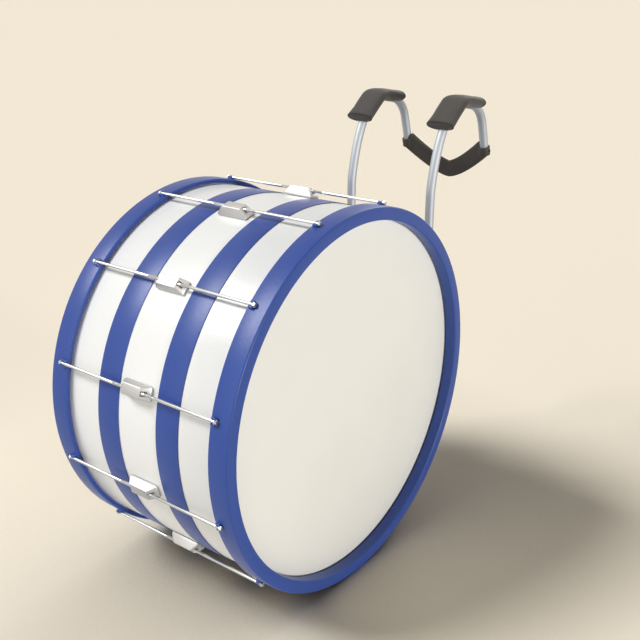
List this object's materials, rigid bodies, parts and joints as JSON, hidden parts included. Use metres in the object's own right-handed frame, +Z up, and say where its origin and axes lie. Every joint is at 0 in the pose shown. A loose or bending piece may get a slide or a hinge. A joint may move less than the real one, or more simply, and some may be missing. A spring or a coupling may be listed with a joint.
{
  "type": "marching bass drum",
  "caption": "Large two-headed marching bass drum with centre lugs and tension rods, on a tubular shoulder harness with pads and a back yoke.",
  "frame": {"origin": "midway between the two shoulder pads, level with the underside of their crests, where the player's shoulders carry the drum", "axes": "+X along the drum's axis towards the front head, +Y from the drum towards the player's back, +Z up"},
  "size_m": [0.4052, 0.9614, 0.8087],
  "materials": {
    "shell_pearl": "gloss white covering over plywood",
    "blue_wrap": "gloss blue wrap",
    "hoop_lacquer": "gloss blue lacquer",
    "drum_head": "coated polyester film",
    "flesh_hoop": "mill",
    "chrome": "chrome plated",
    "rod_steel": "chrome plated steel",
    "harness_tube": "polished tube",
    "bracket_plate": "brushed",
    "pad_foam": "matt black cover over foam",
    "yoke_nylon": "moulded, fine grain",
    "black_rubber": "matt"
  },
  "bodies": {
    "harness": {"harness_tube_left": "harness_tube", "harness_tube_right": "harness_tube", "shoulder_pad_left": "pad_foam", "shoulder_pad_right": "pad_foam", "back_yoke": "yoke_nylon", "tube_plug_left": "black_rubber", "tube_plug_right": "black_rubber"},
    "drum": {"shell": "shell_pearl", "wrap_band_front": "blue_wrap", "wrap_band_rear": "blue_wrap", "head_front": "drum_head", "head_rear": "drum_head", "flesh_hoop_front": "flesh_hoop", "flesh_hoop_rear": "flesh_hoop", "counterhoop_front": "hoop_lacquer", "counterhoop_rear": "hoop_lacquer", "vent_grommet": "chrome", "carrier_bracket": "bracket_plate", "tube_clamp_left": "bracket_plate", "tube_clamp_right": "bracket_plate", "lug_01": "chrome", "lug_02": "chrome", "lug_03": "chrome", "lug_04": "chrome", "lug_05": "chrome", "lug_06": "chrome", "lug_07": "chrome", "lug_08": "chrome", "lug_09": "chrome", "lug_10": "chrome", "lug_11": "chrome", "lug_12": "chrome"},
    "tension_rod_front_01": {"tension_rod_front_01": "rod_steel"},
    "tension_rod_front_02": {"tension_rod_front_02": "rod_steel"},
    "tension_rod_front_03": {"tension_rod_front_03": "rod_steel"},
    "tension_rod_front_04": {"tension_rod_front_04": "rod_steel"},
    "tension_rod_front_05": {"tension_rod_front_05": "rod_steel"},
    "tension_rod_front_06": {"tension_rod_front_06": "rod_steel"},
    "tension_rod_front_07": {"tension_rod_front_07": "rod_steel"},
    "tension_rod_front_08": {"tension_rod_front_08": "rod_steel"},
    "tension_rod_front_09": {"tension_rod_front_09": "rod_steel"},
    "tension_rod_front_10": {"tension_rod_front_10": "rod_steel"},
    "tension_rod_front_11": {"tension_rod_front_11": "rod_steel"},
    "tension_rod_front_12": {"tension_rod_front_12": "rod_steel"},
    "tension_rod_rear_01": {"tension_rod_rear_01": "rod_steel"},
    "tension_rod_rear_02": {"tension_rod_rear_02": "rod_steel"},
    "tension_rod_rear_03": {"tension_rod_rear_03": "rod_steel"},
    "tension_rod_rear_04": {"tension_rod_rear_04": "rod_steel"},
    "tension_rod_rear_05": {"tension_rod_rear_05": "rod_steel"},
    "tension_rod_rear_06": {"tension_rod_rear_06": "rod_steel"},
    "tension_rod_rear_07": {"tension_rod_rear_07": "rod_steel"},
    "tension_rod_rear_08": {"tension_rod_rear_08": "rod_steel"},
    "tension_rod_rear_09": {"tension_rod_rear_09": "rod_steel"},
    "tension_rod_rear_10": {"tension_rod_rear_10": "rod_steel"},
    "tension_rod_rear_11": {"tension_rod_rear_11": "rod_steel"},
    "tension_rod_rear_12": {"tension_rod_rear_12": "rod_steel"},
    "wing_screw_left": {"wing_screw_left": "chrome"},
    "wing_screw_right": {"wing_screw_right": "chrome"}
  },
  "joints": [
    {"name": "carrier_height", "type": "slide", "parent": "harness", "child": "drum", "axis": [0, 0, 1], "range_m": [-0.07, 0.1]},
    {"name": "tension_rod_front_01_turn", "type": "hinge", "parent": "drum", "child": "tension_rod_front_01", "pos_m": [0, -0.12779, -0.35665], "axis": [1, 0, 0], "continuous": true},
    {"name": "tension_rod_front_02_turn", "type": "hinge", "parent": "drum", "child": "tension_rod_front_02", "pos_m": [0, -0.21664, -0.20276], "axis": [1, 0, 0], "continuous": true},
    {"name": "tension_rod_front_03_turn", "type": "hinge", "parent": "drum", "child": "tension_rod_front_03", "pos_m": [0, -0.37054, -0.1139], "axis": [1, 0, 0], "continuous": true},
    {"name": "tension_rod_front_04_turn", "type": "hinge", "parent": "drum", "child": "tension_rod_front_04", "pos_m": [0, -0.54824, -0.1139], "axis": [1, 0, 0], "continuous": true},
    {"name": "tension_rod_front_05_turn", "type": "hinge", "parent": "drum", "child": "tension_rod_front_05", "pos_m": [0, -0.70214, -0.20276], "axis": [1, 0, 0], "continuous": true},
    {"name": "tension_rod_front_06_turn", "type": "hinge", "parent": "drum", "child": "tension_rod_front_06", "pos_m": [0, -0.79099, -0.35665], "axis": [1, 0, 0], "continuous": true},
    {"name": "tension_rod_front_07_turn", "type": "hinge", "parent": "drum", "child": "tension_rod_front_07", "pos_m": [0, -0.79099, -0.53436], "axis": [1, 0, 0], "continuous": true},
    {"name": "tension_rod_front_08_turn", "type": "hinge", "parent": "drum", "child": "tension_rod_front_08", "pos_m": [0, -0.70214, -0.68826], "axis": [1, 0, 0], "continuous": true},
    {"name": "tension_rod_front_09_turn", "type": "hinge", "parent": "drum", "child": "tension_rod_front_09", "pos_m": [0, -0.54824, -0.77711], "axis": [1, 0, 0], "continuous": true},
    {"name": "tension_rod_front_10_turn", "type": "hinge", "parent": "drum", "child": "tension_rod_front_10", "pos_m": [0, -0.37054, -0.77711], "axis": [1, 0, 0], "continuous": true},
    {"name": "tension_rod_front_11_turn", "type": "hinge", "parent": "drum", "child": "tension_rod_front_11", "pos_m": [0, -0.21664, -0.68826], "axis": [1, 0, 0], "continuous": true},
    {"name": "tension_rod_front_12_turn", "type": "hinge", "parent": "drum", "child": "tension_rod_front_12", "pos_m": [0, -0.12779, -0.53436], "axis": [1, 0, 0], "continuous": true},
    {"name": "tension_rod_rear_01_turn", "type": "hinge", "parent": "drum", "child": "tension_rod_rear_01", "pos_m": [0, -0.12779, -0.35665], "axis": [1, 0, 0], "continuous": true},
    {"name": "tension_rod_rear_02_turn", "type": "hinge", "parent": "drum", "child": "tension_rod_rear_02", "pos_m": [0, -0.21664, -0.20276], "axis": [1, 0, 0], "continuous": true},
    {"name": "tension_rod_rear_03_turn", "type": "hinge", "parent": "drum", "child": "tension_rod_rear_03", "pos_m": [0, -0.37054, -0.1139], "axis": [1, 0, 0], "continuous": true},
    {"name": "tension_rod_rear_04_turn", "type": "hinge", "parent": "drum", "child": "tension_rod_rear_04", "pos_m": [0, -0.54824, -0.1139], "axis": [1, 0, 0], "continuous": true},
    {"name": "tension_rod_rear_05_turn", "type": "hinge", "parent": "drum", "child": "tension_rod_rear_05", "pos_m": [0, -0.70214, -0.20276], "axis": [1, 0, 0], "continuous": true},
    {"name": "tension_rod_rear_06_turn", "type": "hinge", "parent": "drum", "child": "tension_rod_rear_06", "pos_m": [0, -0.79099, -0.35665], "axis": [1, 0, 0], "continuous": true},
    {"name": "tension_rod_rear_07_turn", "type": "hinge", "parent": "drum", "child": "tension_rod_rear_07", "pos_m": [0, -0.79099, -0.53436], "axis": [1, 0, 0], "continuous": true},
    {"name": "tension_rod_rear_08_turn", "type": "hinge", "parent": "drum", "child": "tension_rod_rear_08", "pos_m": [0, -0.70214, -0.68826], "axis": [1, 0, 0], "continuous": true},
    {"name": "tension_rod_rear_09_turn", "type": "hinge", "parent": "drum", "child": "tension_rod_rear_09", "pos_m": [0, -0.54824, -0.77711], "axis": [1, 0, 0], "continuous": true},
    {"name": "tension_rod_rear_10_turn", "type": "hinge", "parent": "drum", "child": "tension_rod_rear_10", "pos_m": [0, -0.37054, -0.77711], "axis": [1, 0, 0], "continuous": true},
    {"name": "tension_rod_rear_11_turn", "type": "hinge", "parent": "drum", "child": "tension_rod_rear_11", "pos_m": [0, -0.21664, -0.68826], "axis": [1, 0, 0], "continuous": true},
    {"name": "tension_rod_rear_12_turn", "type": "hinge", "parent": "drum", "child": "tension_rod_rear_12", "pos_m": [0, -0.12779, -0.53436], "axis": [1, 0, 0], "continuous": true},
    {"name": "wing_screw_left_turn", "type": "hinge", "parent": "drum", "child": "wing_screw_left", "pos_m": [-0.0966, -0.06369, -0.44551], "axis": [-1, 0, 0], "continuous": true},
    {"name": "wing_screw_right_turn", "type": "hinge", "parent": "drum", "child": "wing_screw_right", "pos_m": [0.0966, -0.06369, -0.44551], "axis": [1, 0, 0], "continuous": true}
  ]
}
